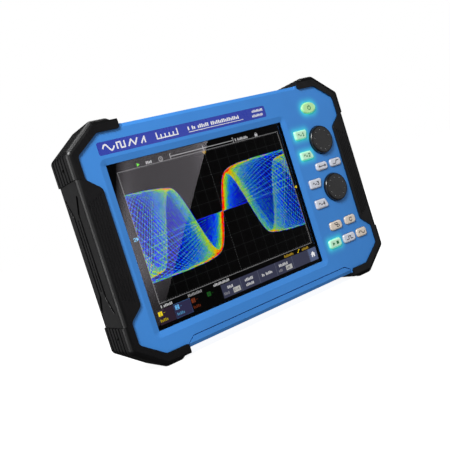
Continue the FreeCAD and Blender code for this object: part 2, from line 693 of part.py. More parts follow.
def cover_lugs():
    """Lugs of the rear shell that hold the cover's pin."""
    lugs = []
    for x0, x1 in LUGS:
        lug = box(x0 + GAP, x1 - GAP, HINGE_Y - 1.6, HINGE_Y + 1.6, HINGE_Z, BAY_FLOOR - 0.5)
        lug = join([lug, rod_x(HINGE_Y, HINGE_Z, 1.6, x0 + GAP, x1 - GAP)])
        lugs.append(lug.cut(rod_x(HINGE_Y, HINGE_Z, PIN_R, -90, 90)))
    return lugs


# ---------------------------------------------------------------- stand

def stand():
    flat = stand_space(0)
    barrel = rod_x(STAND_Y, STAND_Z, STAND_R, -LEG_OUT, LEG_OUT)
    frame = join(flat + [barrel])
    thumb = both(Part.makeCylinder(7, 30, V(LEG_IN + 10, STAND_Y + 8.2, LEG_END - 15), V(0, 0, 1)))
    pin = both(rod_x(STAND_Y, STAND_Z, STAND_PIN_R + 0.15, LEG_OUT - 8, LEG_OUT + 1))
    return frame.cut(pin + thumb)


def stand_pins():
    return group(both(rod_x(STAND_Y, STAND_Z, STAND_PIN_R, LEG_OUT - 7.5, LEG_OUT + 6)))


def stand_pads():
    pads = []
    for i in range(3):
        z = LEG_END + 17 + 4 * i
        pads.append(plate(rect(LEG_IN + 10, z, 15, 2.6, 1.2), STAND_Y + STAND_R, STAND_Y + STAND_R + 0.9))
    return group(pads + [mirror_x(p) for p in pads])


# ---------------------------------------------------------------- all nodes

def build():
    os.makedirs("parts", exist_ok=True)
    save("front_bezel", front_bezel())
    save("rear_shell", join([rear_shell()] + cover_lugs()))
    save("name_strip", plate(rect(*STRIP, 1.6), Y_BEZEL, Y_BEZEL + STRIP_T))
    save("touch_glass", touch_glass())
    save("window_gasket", window_gasket())
    save("lcd_panel", lcd_panel())
    save("lcd_bracket", lcd_bracket())
    save("display_ribbon", display_ribbon())
    for name in ALL_KEYS:
        save(name, make_key(name))
    for place, (x, z) in KNOBS.items():
        save(place + "_knob", make_knob(x, z))
        save(place + "_shaft", make_shaft(x, z))
        save(place + "_plunger", make_plunger(x, z))
    save("encoder_bodies", group([encoder_body(x, z) for x, z in KNOBS.values()]))
    save("key_board", key_board())
    save("key_switches", key_switches())
    save("main_board", main_board())
    save("shield_cans", shield_cans())
    save("processor_chips", boxes_on_board([(-60, 12, 23, 23), (-28, 12, 14, 14), (30, 12, 17, 17)], 2.4))
    save("speaker", speaker())
    save("battery_pack", battery_pack())
    save("battery_door", battery_door())
    save("door_screws", group(both(cross_screw(DOOR_SCREW_X, DOOR_MID, 2.2, Y_BACK - 0.1, 1.05, 16.5))))
    save("case_screws", group(four_ways(cross_screw(SCREW_X, SCREW_Z, 2.9, Y_BACK - 2.3, 1.2, -14))))
    bumper = corner_bumper()
    names = ["bumper_top_right", "bumper_bottom_right", "bumper_top_left", "bumper_bottom_left"]
    for name, shape in zip(names, four_ways(bumper)):
        save(name, shape)
    grip = side_grip()
    save("grip_right", grip)
    save("grip_left", mirror_x(grip))
    places = SOCKETS.values()
    save("bnc_shells", group([bnc_shell(x) for x in places]))
    save("bnc_insulators", group([bnc_insulator(x) for x in places]))
    save("bnc_contacts", group([bnc_contact(x) for x in places]))
    save("channel_rings", group([colour_ring(x) for x in places]))
    save("probe_tabs", group([probe_tab(x) for x in PROBE_TABS]))
    for name in PORTS:
        save(name, make_port(name))
    save("port_cover", port_cover())
    save("cover_pin", rod_x(HINGE_Y, HINGE_Z, PIN_R, -86.8, 86.3))
    save("stand", stand())
    save("stand_pins", stand_pins())
    save("stand_pads", stand_pads())


build()
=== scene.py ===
"""Looks of the tablet oscilloscope: materials, printed marks, the lit screen and the studio.

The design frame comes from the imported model. Metres, X right, Y away, Z up.
"""
import math

import bmesh
import bpy
import numpy as np
from mathutils import Matrix, Vector


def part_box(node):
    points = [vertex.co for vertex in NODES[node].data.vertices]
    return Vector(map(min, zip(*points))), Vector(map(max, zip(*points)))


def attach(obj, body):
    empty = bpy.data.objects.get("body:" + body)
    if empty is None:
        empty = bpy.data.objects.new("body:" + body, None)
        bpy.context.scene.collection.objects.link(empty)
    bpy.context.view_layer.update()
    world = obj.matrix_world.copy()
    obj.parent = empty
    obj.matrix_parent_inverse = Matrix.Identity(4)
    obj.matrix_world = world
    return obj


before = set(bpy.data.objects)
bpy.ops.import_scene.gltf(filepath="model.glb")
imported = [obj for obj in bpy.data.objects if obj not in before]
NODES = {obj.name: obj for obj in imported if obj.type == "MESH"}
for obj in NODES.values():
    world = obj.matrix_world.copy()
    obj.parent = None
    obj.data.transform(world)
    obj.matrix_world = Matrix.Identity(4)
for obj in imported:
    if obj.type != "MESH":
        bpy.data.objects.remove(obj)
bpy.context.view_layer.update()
MM = 0.001

# Camera: where it looks, from which side, and how the picture is turned
HEADING, PITCH, ROLL = 32.06, -2.54, 17.51
AIM = Vector((-0.0131, 0.0, 0.0833))
DISTANCE = 0.5083
LENS = 48.63

# Surround: how bright it is as soft fill and in reflections
WORLD_FILL, WORLD_GLOSS = 0.38, 0.03
SOFTBOX_Y = -1.5                    # plane of the softbox, in front of the object

# Colours, linear
BLUE = (0.044, 0.245, 0.690)
INDIGO = (0.030, 0.052, 0.400)
RUBBER = (0.0042, 0.0042, 0.0046)
WHITE_KEY = (0.66, 0.68, 0.76)
BEIGE_KEY = (0.74, 0.65, 0.56)
LIT_KEY = {"power_key": (0.46, 0.74, 0.34)}
LIT_KEY_OTHER = (0.52, 0.78, 0.60)
# GLOW and GLOW_REACH: colour and reach of the glow painted as emission on the case round the lit keys
GLOW = (0.03, 1.0, 0.55)
INK = (0.02, 0.02, 0.035)
LIT_INK = (0.02, 0.22, 0.08)

LIT_KEYS = ("power_key", "channel_1_key", "channel_2_key", "run_stop_key")
WHITE_KEYS = ("horizontal_key", "trigger_key", "channel_3_key", "channel_4_key", "single_key")
BEIGE_KEYS = ("copy_key", "default_key", "autoset_key")
DIMPLES, DIMPLE_RING = 10, 0.0089   # the knob face's ring of dimples
GLOW_REACH = 0.0068                 # how far a lit key's light leaks over the case
KEY_CORNER = 0.0022                 # corner radius of the channel and run keys
KEY_EDGE = 0.0012                   # rounded border of a lit cap
RING_D = 0.0188                     # socket ring diameter
CHANNEL_COLOURS = [(0.16, 0.16, 0.17), (0.05, 0.55, 0.10), (0.75, 0.05, 0.03),
                   (0.06, 0.38, 0.85), (0.85, 0.62, 0.02)]
INK_THICK, PLATE_THICK = 0.00005, 0.00006
HAIR = 1e-7                         # step from one inked stroke to the next
WELD_GAP = 2e-6                     # vertices closer than this are one
FLAT_ANGLE, SHARP_ANGLE = 0.6, 26.0  # edges that dissolve, and edges that get a radius, degrees


def centre(node):
    lo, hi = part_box(node)
    return (lo + hi) / 2


def link_object(name, data):
    """A new object in the scene for a mesh, light or camera."""
    ob = bpy.data.objects.new(name, data)
    bpy.context.collection.objects.link(ob)
    return ob


def tint_faces(mesh, colours):
    """Store one colour per face, on every corner of that face."""
    paint = mesh.color_attributes.new("tint", "FLOAT_COLOR", "CORNER")
    sides = [face.loop_total for face in mesh.polygons]
    rgba = np.c_[np.asarray(colours, float), np.ones(len(sides))]
    paint.data.foreach_set("color", np.repeat(rgba, sides, axis=0).astype(np.float32).ravel())


# ---------------------------------------------------------------- node helpers

class Shader:
    """One material with a Principled shader, and short calls that add nodes to it."""

    def __init__(self, name):
        self.mat = bpy.data.materials.new(name)
        self.mat.use_nodes = True
        self.tree = self.mat.node_tree
        self.bsdf = self.tree.nodes["Principled BSDF"]
        self.where = self.add("ShaderNodeTexCoord").outputs["Object"]

    def add(self, kind, **settings):
        node = self.tree.nodes.new(kind)
        for key, value in settings.items():
            setattr(node, key, value)
        return node

    def feed(self, socket, value):
        if isinstance(value, bpy.types.NodeSocket):
            self.tree.links.new(value, socket)
        else:
            socket.default_value = value

    def set(self, **values):
        for key, value in values.items():
            self.feed(self.bsdf.inputs[key.replace("_", " ")], value)

    def noise(self, scale, detail, rough=0.5, stretch=None):
        node = self.add("ShaderNodeTexNoise")
        node.inputs["Scale"].default_value = scale
        node.inputs["Detail"].default_value = detail
        node.inputs["Roughness"].default_value = rough
        coords = self.where
        if stretch:
            place = self.add("ShaderNodeMapping")
            place.inputs["Scale"].default_value = stretch
            self.feed(place.inputs["Vector"], coords)
            coords = place.outputs["Vector"]
        self.feed(node.inputs["Vector"], coords)
        return node.outputs["Fac"]

    def ramp(self, value, low, high, out_low=0.0, out_high=1.0, smooth=False):
        node = self.add("ShaderNodeMapRange")
        node.interpolation_type = "SMOOTHSTEP" if smooth else "LINEAR"
        for key, number in zip(("From Min", "From Max", "To Min", "To Max"),
                               (low, high, out_low, out_high)):
            node.inputs[key].default_value = number
        self.feed(node.inputs["Value"], value)
        return node.outputs["Result"]

    def mix(self, amount, a, b):
        node = self.add("ShaderNodeMix", data_type="RGBA", blend_type="MIX")
        self.feed(node.inputs["Factor"], amount)
        self.feed(node.inputs["A"], (*a, 1) if isinstance(a, tuple) else a)
        self.feed(node.inputs["B"], (*b, 1) if isinstance(b, tuple) else b)
        return node.outputs["Result"]

    def math(self, operation, a, b=0.0):
        node = self.add("ShaderNodeMath", operation=operation)
        self.feed(node.inputs[0], a)
        self.feed(node.inputs[1], b)
        return node.outputs[0]

    def axes(self):
        """The object's own coordinates, to be read one by one."""
        split = self.add("ShaderNodeSeparateXYZ")
        self.feed(split.inputs[0], self.where)
        return split.outputs

    def bump(self, height, depth, strength):
        node = self.add("ShaderNodeBump")
        node.inputs["Distance"].default_value = depth
        node.inputs["Strength"].default_value = strength
        self.feed(node.inputs["Height"], height)
        return node.outputs["Normal"]


def shade(colour, factor):
    return tuple(min(1.0, c * factor) for c in colour)


def moulded(name, colour, rough, grain=1800.0, depth=0.00004, spread=0.08, dust=0.0, coat=0.0):
    """Moulded plastic or rubber: slow colour drift, spark-eroded grain, scuffed roughness."""
    s = Shader(name)
    drift = s.noise(22.0, 2.0)
    body = s.mix(s.ramp(drift, 0.3, 0.7), shade(colour, 1 - spread), shade(colour, 1 + spread))
    if dust:
        specks = s.ramp(s.noise(420.0, 5.0, 0.75), 0.60, 0.76, 0.0, dust)
        grey = tuple(0.5 * c + 0.09 for c in colour)
        body = s.mix(specks, body, grey)
    scuff = s.noise(95.0, 5.0, 0.7, stretch=(1.0, 1.0, 0.35))
    s.set(Base_Color=body, Roughness=s.ramp(scuff, 0.3, 0.75, rough - 0.05, rough + 0.08))
    fine = s.noise(grain, 2.0)
    s.set(Normal=s.bump(fine, depth, 0.55))
    if coat:
        s.set(Coat_Weight=coat, Coat_Roughness=0.12)
    return s


def metal(name, colour, rough):
    """Plated or brushed metal with fine drawn lines."""
    s = Shader(name)
    lines = s.noise(900.0, 4.0, 0.6, stretch=(1.0, 1.0, 12.0))
    tarnish = s.noise(60.0, 4.0, 0.6)
    s.set(Base_Color=s.mix(s.ramp(tarnish, 0.45, 0.8), colour, shade(colour, 0.78)),
          Metallic=1.0, Roughness=s.ramp(lines, 0.3, 0.7, rough - 0.06, rough + 0.1))
    s.set(Normal=s.bump(lines, 0.00001, 0.4))
    return s


def box_glow(s, lo, hi, corner, reach):
    """Painted glow: emission mask for the light that leaks round a lit key with rounded corners, 1 at
    its edge, fading over reach.
    """
    at = s.axes()
    squares = []
    for axis, low, high in (("X", lo.x, hi.x), ("Z", lo.z, hi.z)):
        off = s.math("ABSOLUTE", s.math("SUBTRACT", at[axis], (low + high) / 2))
        past = s.math("MAXIMUM", s.math("SUBTRACT", off, (high - low) / 2 - corner), 0.0)
        squares.append(s.math("MULTIPLY", past, past))
    away = s.math("SQRT", s.math("ADD", squares[0], squares[1]))
    return s.math("POWER", s.ramp(away, corner - 0.0008, corner + reach, 1.0, 0.0), 2.8)


def blue_abs(name):
    return moulded(name, BLUE, 0.40, grain=1500.0, depth=0.00005, spread=0.05, dust=0.03)


def front_shell_material():
    """Blue ABS, with the lit keys' glow painted on the surface round them as emission."""
    s = blue_abs("blue_abs_front")
    glow = None
    for name in LIT_KEYS:
        lo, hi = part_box(name)
        corner = (hi.z - lo.z) / 2 if name == "power_key" else KEY_CORNER
        one = box_glow(s, lo, hi, corner, GLOW_REACH)
        glow = one if glow is None else s.math("MAXIMUM", glow, one)
    # painted glow: green emission on the case, strongest at the lit keys' edges
    s.set(Emission_Color=(*GLOW, 1), Emission_Strength=s.math("MULTIPLY", glow, 0.30))
    return s.mat


def key_material(name, colour):
    return moulded(name, colour, 0.33, grain=2600.0, depth=0.00002, spread=0.03, coat=0.25).mat


def lit_key_material(node):
    """Translucent cap with a lamp behind it, brighter and greener toward the rim."""
    lo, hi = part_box(node)
    s = moulded("lamp_" + node, LIT_KEY.get(node, LIT_KEY_OTHER), 0.36, grain=2600.0,
                depth=0.00002, spread=0.03, coat=0.2)
    at = s.axes()
    off_x = s.math("ABSOLUTE", s.math("SUBTRACT", at["X"], (lo.x + hi.x) / 2))
    off_z = s.math("ABSOLUTE", s.math("SUBTRACT", at["Z"], (lo.z + hi.z) / 2))
    reach = s.math("MAXIMUM", s.math("DIVIDE", off_x, (hi.x - lo.x) / 2 - KEY_EDGE),
                   s.math("DIVIDE", off_z, (hi.z - lo.z) / 2 - KEY_EDGE))
    rim = s.ramp(reach, 0.55, 1.0, 0.0, 1.0, smooth=True)
    s.set(Emission_Color=s.mix(rim, (0.30, 0.62, 0.30), (0.03, 0.95, 0.50)),
          Emission_Strength=s.ramp(rim, 0.0, 1.0, 0.16, 0.34))
    return s.mat


def glass_material():
    """Clear cover glass: a clean gloss over what is behind it, with faint wiped smears."""
    s = Shader("cover_glass")
    tree = s.tree
    out = tree.nodes["Material Output"]
    clear = s.add("ShaderNodeBsdfTransparent")
    clear.inputs["Color"].default_value = (0.96, 0.96, 0.97, 1)
    gloss = s.add("ShaderNodeBsdfGlossy")
    gloss.inputs["Color"].default_value = (1, 1, 1, 1)
    smear = s.noise(38.0, 4.0, 0.6, stretch=(1.0, 1.0, 3.0))
    s.feed(gloss.inputs["Roughness"], s.ramp(smear, 0.45, 0.8, 0.0, 0.02))
    edge = s.add("ShaderNodeFresnel")
    edge.inputs["IOR"].default_value = 1.42
    both = s.add("ShaderNodeMixShader")
    s.feed(both.inputs[0], edge.outputs[0])
    tree.links.new(clear.outputs[0], both.inputs[1])
    tree.links.new(gloss.outputs[0], both.inputs[2])
    tree.links.new(both.outputs[0], out.inputs["Surface"])
    tree.nodes.remove(s.bsdf)
    return s.mat


def light_material(name):
    """Screen light: each face's own colour, with the slight unevenness of a backlight.

    A quarter of the colour is kept in the base, so that fine lines survive denoising.
    """
    s = Shader(name)
    tint = s.add("ShaderNodeVertexColor", layer_name="tint").outputs["Color"]
    uneven = s.ramp(s.noise(14.0, 2.0), 0.3, 0.7, 0.92, 1.0)
    s.set(Base_Color=s.mix(0.75, tint, (0.0, 0.0, 0.0)), Roughness=0.5, Specular_IOR_Level=0.0,
          Emission_Color=tint, Emission_Strength=uneven)
    return s.mat


def print_material():
    """Printed ink that takes its colour from the mark, slightly mottled."""
    s = Shader("printed_ink")
    tint = s.add("ShaderNodeVertexColor", layer_name="tint").outputs["Color"]
    mottle = s.ramp(s.noise(1500.0, 3.0), 0.35, 0.7, 0.0, 0.18)
    s.set(Base_Color=s.mix(mottle, tint, (0.1, 0.1, 0.12)), Roughness=0.4)
    return s.mat


def board_material():
    """Solder mask with copper tracks showing through as lighter lines."""
    s = Shader("circuit_board")
    cells = s.add("ShaderNodeTexVoronoi", feature="DISTANCE_TO_EDGE")
    cells.inputs["Scale"].default_value = 260.0
    s.feed(cells.inputs["Vector"], s.where)
    tracks = s.ramp(cells.outputs["Distance"], 0.02, 0.07, 1.0, 0.0)
    s.set(Base_Color=s.mix(tracks, (0.012, 0.09, 0.035), (0.05, 0.22, 0.08)), Roughness=0.35,
          Normal=s.bump(tracks, 0.00003, 0.5))
    return s.mat


# ---------------------------------------------------------------- materials on the CAD nodes

def wear(names, mat):
    for name in names:
        for slot in NODES[name].material_slots:
            slot.material = mat


def dress_nodes():
    shell = blue_abs("blue_abs").mat
    rubber = moulded("black_rubber", RUBBER, 0.34, grain=1300.0, depth=0.00003, spread=0.15,
                     dust=0.015).mat
    steel = metal("pressed_steel", (0.60, 0.60, 0.62), 0.32).mat
    nickel = metal("nickel_plate", (0.66, 0.63, 0.57), 0.20).mat
    gold = metal("gold_contact", (0.85, 0.60, 0.25), 0.22).mat
    chip = moulded("epoxy", (0.02, 0.02, 0.022), 0.55).mat
    wear(["front_bezel"], front_shell_material())
    wear(["rear_shell", "battery_door", "port_cover"], shell)
    wear(["name_strip"], moulded("indigo_film", INDIGO, 0.28, 3000.0, 0.00001, 0.03, coat=0.4).mat)
    wear([n for n in NODES if n.startswith(("bumper_", "grip_"))], rubber)
    wear(["touch_glass"], glass_material())
    panel = moulded("panel_black", (0.0010, 0.0010, 0.0012), 0.6, spread=0.2)
    panel.set(Specular_IOR_Level=0.05)
    wear(["lcd_panel"], panel.mat)
    wear(["window_gasket"], moulded("foam", (0.012, 0.012, 0.012), 0.9, grain=2500.0).mat)
    wear(["upper_knob", "lower_knob"],
         moulded("knob_black", (0.010, 0.010, 0.011), 0.22, 2200.0, 0.00002, 0.1, coat=0.5).mat)
    for name in LIT_KEYS:
        wear([name], lit_key_material(name))
    wear(WHITE_KEYS, key_material("key_white", WHITE_KEY))
    wear(BEIGE_KEYS, key_material("key_beige", BEIGE_KEY))
    wear(["lcd_bracket", "upper_shaft", "lower_shaft", "upper_plunger", "lower_plunger",
          "encoder_bodies", "key_switches", "shield_cans", "door_screws", "case_screws",
          "lan_jack", "hdmi_jack", "usb_host", "usb_device", "cover_pin", "stand_pins"], steel)
    wear(["bnc_shells", "probe_tabs"], nickel)
    wear(["bnc_contacts"], gold)
    wear(["bnc_insulators"], moulded("white_insulator", (0.74, 0.74, 0.70), 0.45).mat)
    wear(["processor_chips", "speaker", "dc_jack"], chip)
    wear(["battery_pack"], moulded("battery_wrap", (0.03, 0.05, 0.10), 0.3, coat=0.3).mat)
    wear(["display_ribbon"], moulded("polyimide", (0.42, 0.20, 0.04), 0.35).mat)
    wear(["key_board", "main_board"], board_material())
    wear(["stand"], moulded("nylon_grey", (0.020, 0.021, 0.024), 0.48, 1200.0, 0.00007, 0.1,
                            dust=0.08).mat)
    wear(["stand_pads"], rubber)
    wear(["channel_rings"], ring_material())


def ring_material():
    """Socket rings: external grey, then channels 4 to 1, each in its trace colour."""
    s = moulded("channel_rings", (0.5, 0.5, 0.5), 0.35)
    across = s.axes()["X"]
    lo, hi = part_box("channel_rings")
    pitch = (hi.x - lo.x - RING_D) / 4
    first = lo.x + RING_D / 2
    colour = CHANNEL_COLOURS[0]
    for i, tint in enumerate(CHANNEL_COLOURS[1:]):
        past = s.math("GREATER_THAN", across, first + (i + 0.5) * pitch)
        colour = s.mix(past, colour, tint)
    s.set(Base_Color=colour)
    return s.mat


def soften(names, width, segments):
    """Small moulding radius on every sharp edge of a CAD node, as modifiers."""
    for name in names:
        ob = NODES[name]
        weld = ob.modifiers.new("weld", "WELD")
        weld.merge_threshold = WELD_GAP
        flat = ob.modifiers.new("flat", "DECIMATE")
        flat.decimate_type = "DISSOLVE"
        flat.angle_limit = math.radians(FLAT_ANGLE)
        bevel = ob.modifiers.new("round", "BEVEL")
        bevel.width = width
        bevel.segments = segments
        bevel.limit_method = "ANGLE"
        bevel.angle_limit = math.radians(SHARP_ANGLE)
        bevel.use_clamp_overlap = True
        bevel.harden_normals = True


# ---------------------------------------------------------------- printed marks and screen shapes

class Marks:
    """Flat shapes drawn in millimetres on a plane, each with its own colour.

    The plane faces the front (-Y), or the back when side is -1.
    """

    def __init__(self, name, middle, y, side=1):
        self.name, self.middle, self.y, self.side = name, middle, y, side
        self.shapes = []

    def poly(self, points, colour):
        self.shapes.append((points, colour))

    def rect(self, u0, v0, u1, v1, colour):
        self.poly([(u0, v0), (u1, v0), (u1, v1), (u0, v1)], colour)

    def line(self, points, width, colour):
        """Stroke along points, each run with square ends that overlap at the bends."""
        half = width / 2
        for (ua, va), (ub, vb) in zip(points, points[1:]):
            run = math.hypot(ub - ua, vb - va) or 1.0
            du, dv = (ub - ua) / run * half, (vb - va) / run * half
            ua, va, ub, vb = ua - du * 0.8, va - dv * 0.8, ub + du * 0.8, vb + dv * 0.8
            self.poly([(ua + dv, va - du), (ub + dv, vb - du), (ub - dv, vb + du),
                       (ua - dv, va + du)], colour)

    def arc(self, u, v, radius, start, end, width, colour, steps=18):
        turns = [math.radians(start + (end - start) * i / steps) for i in range(steps + 1)]
        self.line([(u + radius * math.cos(a), v + radius * math.sin(a)) for a in turns],
                  width, colour)

    def words(self, u, v, height, lengths, colour, gap=0.55):
        """Rows of short blocks that stand for unreadable small print."""
        for length in lengths:
            step = height * 0.62
            count = max(1, int(length / step))
            for i in range(count):
                left = u + i * step
                tall = height * (1.0 if (i * 7 + count) % 3 else 0.72)
                self.rect(left, v, left + step * 0.68, v + tall, colour)
            u += count * step + height * gap

    def digit(self, number, u, v, size, width, colour):
        """Numeral in plain strokes, size high, centred on (u, v)."""
        w, h = size * 0.30, size * 0.5
        paths = {
            1: [[(-0.6 * w, 0.55 * h), (0.1 * w, h), (0.1 * w, -h)], [(-0.7 * w, -h), (0.9 * w, -h)]],
            2: [[(-w, 0.5 * h), (-0.6 * w, h), (0.6 * w, h), (w, 0.5 * h), (w, 0.1 * h),
                 (-w, -h), (w, -h)]],
            3: [[(-w, h), (w, h), (0, 0.15 * h), (0.7 * w, 0.1 * h), (w, -0.3 * h),
                 (w, -0.7 * h), (0.6 * w, -h), (-0.6 * w, -h), (-w, -0.7 * h)]],
            4: [[(0.5 * w, -h), (0.5 * w, h), (-w, -0.35 * h), (w, -0.35 * h)]],
        }
        for path in paths[number]:
            self.line([(u + a, v + b) for a, b in path], width, colour)

    def build(self, material, body, slot, thickness=0.0):
        """The piece itself: flat, or as thin raised ink when a thickness is given."""
        points, faces, tints = [], [], []
        for index, (shape, colour) in enumerate(self.shapes):
            area = sum(a[0] * b[1] - b[0] * a[1] for a, b in zip(shape, shape[1:] + shape[:1]))
            ring = shape if area > 0 else shape[::-1]
            base = len(points)
            count = len(ring)
            # Each stroke stands a hair prouder than the last, so no two faces coincide
            for depth in ([0.0, thickness + index * HAIR] if thickness else [0.0]):
                points += [(self.middle.x + self.side * u * MM, self.y - self.side * depth,
                            self.middle.z + v * MM) for u, v in ring]
            if thickness:
                faces.append([base + count + i for i in range(count)])
                faces.append([base + i for i in reversed(range(count))])
                faces += [[base + i, base + (i + 1) % count, base + count + (i + 1) % count,
                           base + count + i] for i in range(count)]
                tints += [colour] * (count + 2)
            else:
                faces.append([base + i for i in range(count)])
                tints.append(colour)
        mesh = bpy.data.meshes.new(self.name)
        mesh.from_pydata(points, [], faces)
        tint_faces(mesh, tints)
        mesh.materials.append(material)
        ob = link_object(self.name, mesh)
        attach(ob, body)


# ---------------------------------------------------------------- screen

GLASS_LO, GLASS_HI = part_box("touch_glass")
SCREEN = centre("touch_glass")
DIV = 10.2                      # graticule square, mm
COLS, ROWS = 15.2, 9.94         # graticule size in squares
GRID_U, GRID_V = 1.75, 5.75     # graticule centre from the window's centre, mm
LAYER = 0.00006                 # gap between one screen layer and the next
TRACE_ROWS = 7.2                # height the trace may fill, in squares
DOT = 0.045                     # screen dot, in squares
FAINTEST = 0.3                  # fewer hits than this leave the screen black
TOP_RATE = 0.1923               # fastest sine of the sweep, cycles per square
FINE, COARSE, BUNCHED = 64, 44, 10  # faint traces, strong traces, extra ones near the fastest


def density_colour(hits):
    """Persistence colour scale: a single pass is blue, and more turn green, yellow and red."""
    stops = [0.0, 0.4, 0.9, 1.8, 2.4, 3.3, 4.9, 6.8, 8.4]
    red = [0.0, 0.0, 0.0, 0.0, 0.01, 0.08, 0.45, 0.95, 1.0]
    green = [0.0, 0.0, 0.005, 0.02, 0.36, 0.58, 0.75, 0.45, 0.01]
    blue = [0.0, 0.12, 0.95, 1.00, 0.20, 0.05, 0.0, 0.0, 0.0]
    return np.stack([np.interp(hits, stops, part) for part in (red, green, blue)], -1)


def sweep_hits(columns, rows):
    """How often a swept sine passes each cell of the screen, drawn trace by trace.

    Each trace has its part of the top rate, its weight and its half width in cells.
    """
    rng = np.random.default_rng(7)
    hits = np.zeros((rows, columns))
    t = (np.arange(columns) + 0.5 - columns / 2) * DOT
    level = np.arange(rows)[:, None] + 0.5
    fine = [(k / (FINE - 1), 0.55, 0.50) for k in range(FINE)]
    coarse = [((k + 0.3) / COARSE, 1.7, 0.55) for k in range(COARSE)]
    bunch = [(0.80 + 0.20 * (k / (BUNCHED - 1)) ** 0.8, 1.0, 0.75) for k in range(BUNCHED)]
    for part, weight, wide in fine + coarse + bunch:
        rate = TOP_RATE * (0.004 + 0.996 * part)
        size = 3.40 - 0.57 * part ** 2.2 + (rng.random() - 0.5) * 0.05
        y = size * np.sin(2 * np.pi * rate * t) / DOT + rows / 2
        slope = np.abs(size * 2 * np.pi * rate * np.cos(2 * np.pi * rate * t))
        half = wide * np.sqrt(1 + slope ** 2)
        hits += weight * np.clip(half[None, :] + 0.5 - np.abs(level - y[None, :]), 0, 1)
    return hits * (0.65 + 0.70 * rng.random(hits.shape))


def make_trace():
    """Persistence picture of the sweep: one cell per screen dot, only where a trace has been."""
    columns, rows = int(COLS / DOT), int(TRACE_ROWS / DOT)
    hits = sweep_hits(columns, rows)
    rows_at, cols_at = np.nonzero(hits > FAINTEST)
    corner_ids = np.full((rows + 1, columns + 1), -1)
    for dr in (0, 1):
        for dc in (0, 1):
            corner_ids[rows_at + dr, cols_at + dc] = 0
    used = np.argwhere(corner_ids == 0)
    corner_ids[used[:, 0], used[:, 1]] = np.arange(len(used))
    pitch = DIV * DOT * MM
    left = SCREEN.x + GRID_U * MM - columns * pitch / 2
    low = SCREEN.z + GRID_V * MM - rows * pitch / 2
    y = GLASS_HI.y + 3 * LAYER
    points = np.stack([left + used[:, 1] * pitch, np.full(len(used), y),
                       low + used[:, 0] * pitch], -1)
    faces = np.stack([corner_ids[rows_at, cols_at], corner_ids[rows_at, cols_at + 1],
                      corner_ids[rows_at + 1, cols_at + 1], corner_ids[rows_at + 1, cols_at]], -1)
    mesh = bpy.data.meshes.new("screen_trace")
    mesh.from_pydata(points.tolist(), [], faces.tolist())
    tint_faces(mesh, density_colour(hits[rows_at, cols_at]))
    mesh.materials.append(light_material("screen_trace_light"))
    ob = link_object("screen_trace", mesh)
    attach(ob, "root")


def make_graticule(light):
    """Border with ticks, faint squares and the stronger dotted centre lines."""
    m = Marks("screen_graticule", SCREEN, GLASS_HI.y + 2 * LAYER)
    half_u, half_v = COLS * DIV / 2, ROWS * DIV / 2
    left, right = GRID_U - half_u, GRID_U + half_u
    low, high = GRID_V - half_v, GRID_V + half_v
    frame_grey, tick_grey, line_grey = (0.28, 0.28, 0.28), (0.26, 0.26, 0.26), (0.026, 0.028, 0.028)
    w, tick = 0.16, 1.1
    for v in (low, high):
        m.rect(left - w, v - w, right + w, v + w, frame_grey)
    for u in (left, right):
        m.rect(u - w, low, u + w, high, frame_grey)
    minor = DIV / 5
    for i in range(-37, 38):
        u = GRID_U + i * minor
        m.rect(u - 0.1, high - tick, u + 0.1, high, tick_grey)
        m.rect(u - 0.1, low, u + 0.1, low + tick, tick_grey)
        m.rect(u - 0.12, GRID_V - 0.12, u + 0.12, GRID_V + 0.12, frame_grey)
    for j in range(-24, 25):
        v = GRID_V + j * minor
        m.rect(left, v - 0.1, left + tick, v + 0.1, tick_grey)
        m.rect(right - tick, v - 0.1, right, v + 0.1, tick_grey)
        m.rect(GRID_U - 0.15, v - 0.15, GRID_U + 0.15, v + 0.15, frame_grey)
    for i in range(-7, 8):
        u = GRID_U + i * DIV
        m.rect(u - 0.08, low, u + 0.08, high, line_grey)
    for j in range(-4, 5):
        v = GRID_V + j * DIV
        m.rect(left, v - 0.08, right, v + 0.08, line_grey)
    m.build(light, "root", "display")


